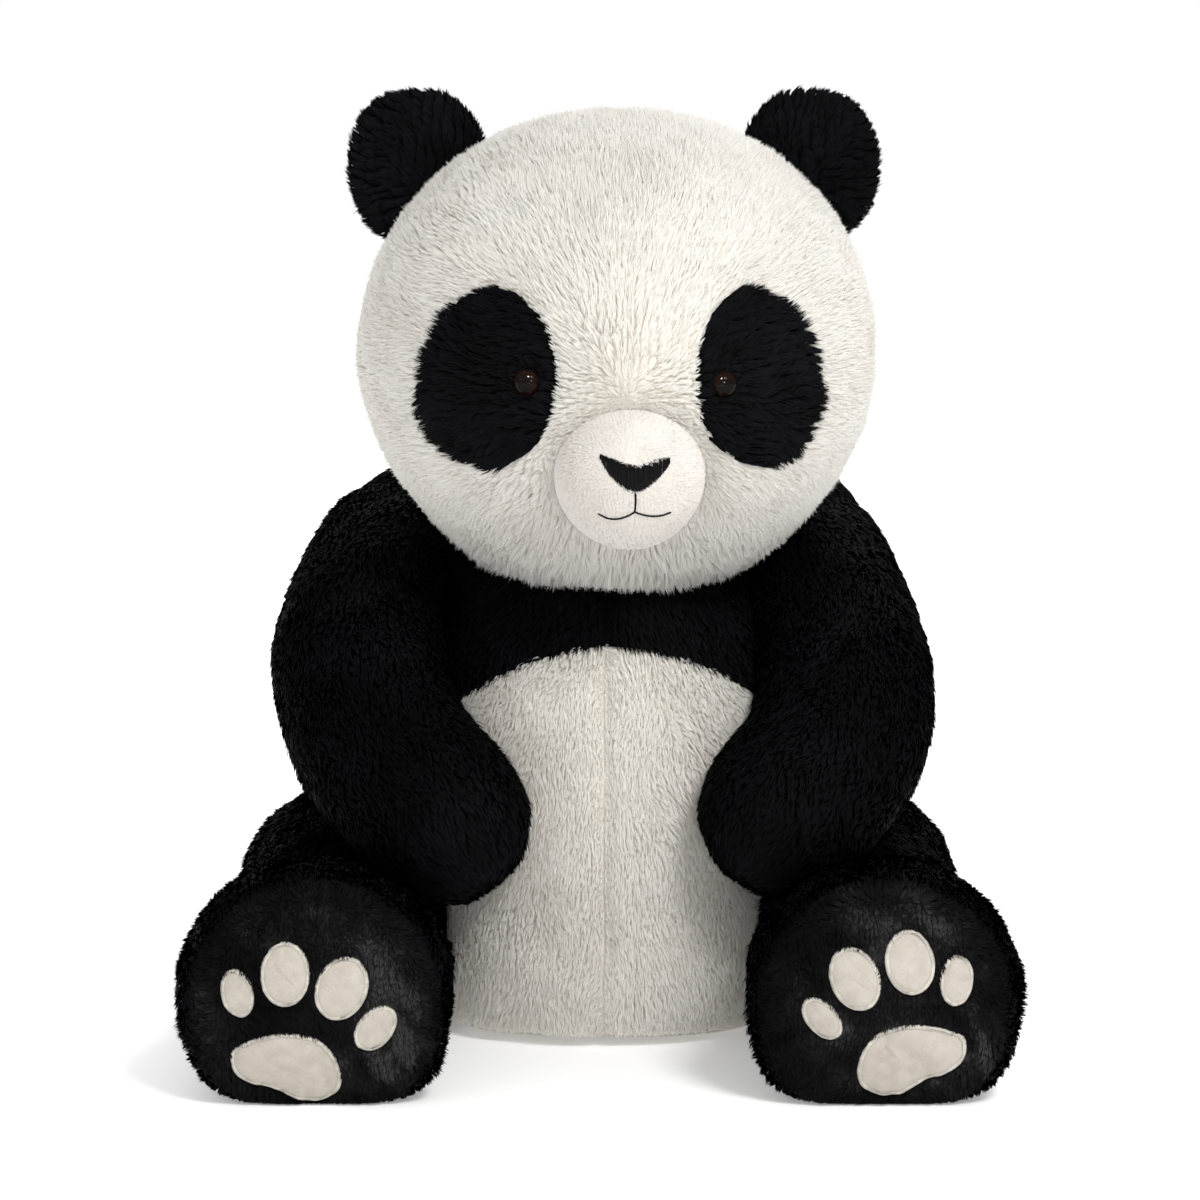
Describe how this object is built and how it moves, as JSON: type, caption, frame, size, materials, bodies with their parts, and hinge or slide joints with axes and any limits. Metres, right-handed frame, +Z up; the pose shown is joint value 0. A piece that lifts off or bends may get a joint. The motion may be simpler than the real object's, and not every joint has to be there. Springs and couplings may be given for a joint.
{
  "type": "plush panda",
  "caption": "Seated stuffed panda with a large round head, white belly, black limbs and paw-pad soles.",
  "frame": {"origin": "centre of the seat on the ground plane", "axes": "+Z up, the face looks along -Y, the animal's left side is +X"},
  "size_m": [0.5282, 0.5158, 0.629],
  "materials": {
    "white_fur": "long soft pile",
    "black_fur": "soft pile, faint sheen",
    "sole_plush": "short dense pile",
    "pad_fabric": "brushed knit",
    "edge_thread": "satin stitch",
    "nose_thread": "satin stitch",
    "muzzle_plush": "very short pile",
    "fibre_fill": "loose polyester fibre",
    "sewing_thread": "twisted thread",
    "eye_plastic": "polished",
    "washer_plastic": "moulded"
  },
  "bodies": {
    "body": {"back_panel_left": "white_fur", "back_panel_right": "white_fur", "belly_panel_left": "white_fur", "belly_panel_right": "white_fur", "body_stuffing": "fibre_fill", "chest_yoke_back": "black_fur", "chest_yoke_front": "black_fur", "closing_stitches": "sewing_thread", "seat_panel": "white_fur"},
    "neck": {"neck_cover": "black_fur", "neck_stuffing": "fibre_fill"},
    "head": {"eye_left": "eye_plastic", "eye_patch_left": "black_fur", "eye_patch_right": "black_fur", "eye_right": "eye_plastic", "eye_washer_left": "washer_plastic", "eye_washer_right": "washer_plastic", "face_panel_left": "white_fur", "face_panel_right": "white_fur", "head_back_panel_left": "white_fur", "head_back_panel_right": "white_fur", "head_stuffing": "fibre_fill", "mouth_embroidery": "nose_thread", "muzzle_cover": "muzzle_plush", "muzzle_stuffing": "fibre_fill", "nose_embroidery": "nose_thread"},
    "ear_left": {"ear_left_back": "black_fur", "ear_left_filling": "fibre_fill", "ear_left_front": "black_fur"},
    "ear_right": {"ear_right_back": "black_fur", "ear_right_filling": "fibre_fill", "ear_right_front": "black_fur"},
    "arm_left": {"arm_left_inner_panel": "black_fur", "arm_left_outer_panel": "black_fur", "arm_left_stuffing": "fibre_fill"},
    "arm_right": {"arm_right_inner_panel": "black_fur", "arm_right_outer_panel": "black_fur", "arm_right_stuffing": "fibre_fill"},
    "leg_left": {"foot_sole_left": "sole_plush", "leg_left_lower_panel": "black_fur", "leg_left_stuffing": "fibre_fill", "leg_left_upper_panel": "black_fur", "main_pad_left": "pad_fabric", "pad_edge_stitching_left": "edge_thread", "toe_pads_left": "pad_fabric"},
    "leg_right": {"foot_sole_right": "sole_plush", "leg_right_lower_panel": "black_fur", "leg_right_stuffing": "fibre_fill", "leg_right_upper_panel": "black_fur", "main_pad_right": "pad_fabric", "pad_edge_stitching_right": "edge_thread", "toe_pads_right": "pad_fabric"},
    "tail": {"tail_cover": "white_fur", "tail_stuffing": "fibre_fill"}
  },
  "joints": [
    {"name": "neck_turn", "type": "hinge", "parent": "body", "child": "neck", "pos_m": [0.004, -0.04, 0.326], "axis": [0, 0, 1], "range_deg": [-15, 15], "stiffness_Nm_per_rad": 2},
    {"name": "neck_nod", "type": "hinge", "parent": "neck", "child": "head", "pos_m": [0.004, -0.04, 0.326], "axis": [1, 0, 0], "range_deg": [-6, 6], "stiffness_Nm_per_rad": 3},
    {"name": "ear_left_bend", "type": "hinge", "parent": "head", "child": "ear_left", "pos_m": [0.12782, -0.03347, 0.57023], "axis": [0.69, 0.0265, -0.7234], "range_deg": [-12, 12], "stiffness_Nm_per_rad": 0.1},
    {"name": "ear_right_bend", "type": "hinge", "parent": "head", "child": "ear_right", "pos_m": [-0.11135, -0.04266, 0.57023], "axis": [-0.69, -0.0265, -0.7234], "range_deg": [-12, 12], "stiffness_Nm_per_rad": 0.1},
    {"name": "arm_left_lift", "type": "hinge", "parent": "body", "child": "arm_left", "pos_m": [0.143, 0.028, 0.28], "axis": [-0.5736, -0.8192, 0], "range_deg": [0, 24]},
    {"name": "arm_right_lift", "type": "hinge", "parent": "body", "child": "arm_right", "pos_m": [-0.143, 0.028, 0.28], "axis": [-0.5736, 0.8192, 0], "range_deg": [0, 24]},
    {"name": "leg_left_swing", "type": "hinge", "parent": "body", "child": "leg_left", "pos_m": [0.142, -0.015, 0.078], "axis": [0, 0, 1], "range_deg": [0, 15]},
    {"name": "leg_right_swing", "type": "hinge", "parent": "body", "child": "leg_right", "pos_m": [-0.142, -0.015, 0.078], "axis": [0, 0, -1], "range_deg": [0, 15]},
    {"name": "tail_swing", "type": "hinge", "parent": "body", "child": "tail", "pos_m": [0, 0.14, 0.064], "axis": [0, 0, 1], "range_deg": [-15, 15], "stiffness_Nm_per_rad": 0.05}
  ]
}
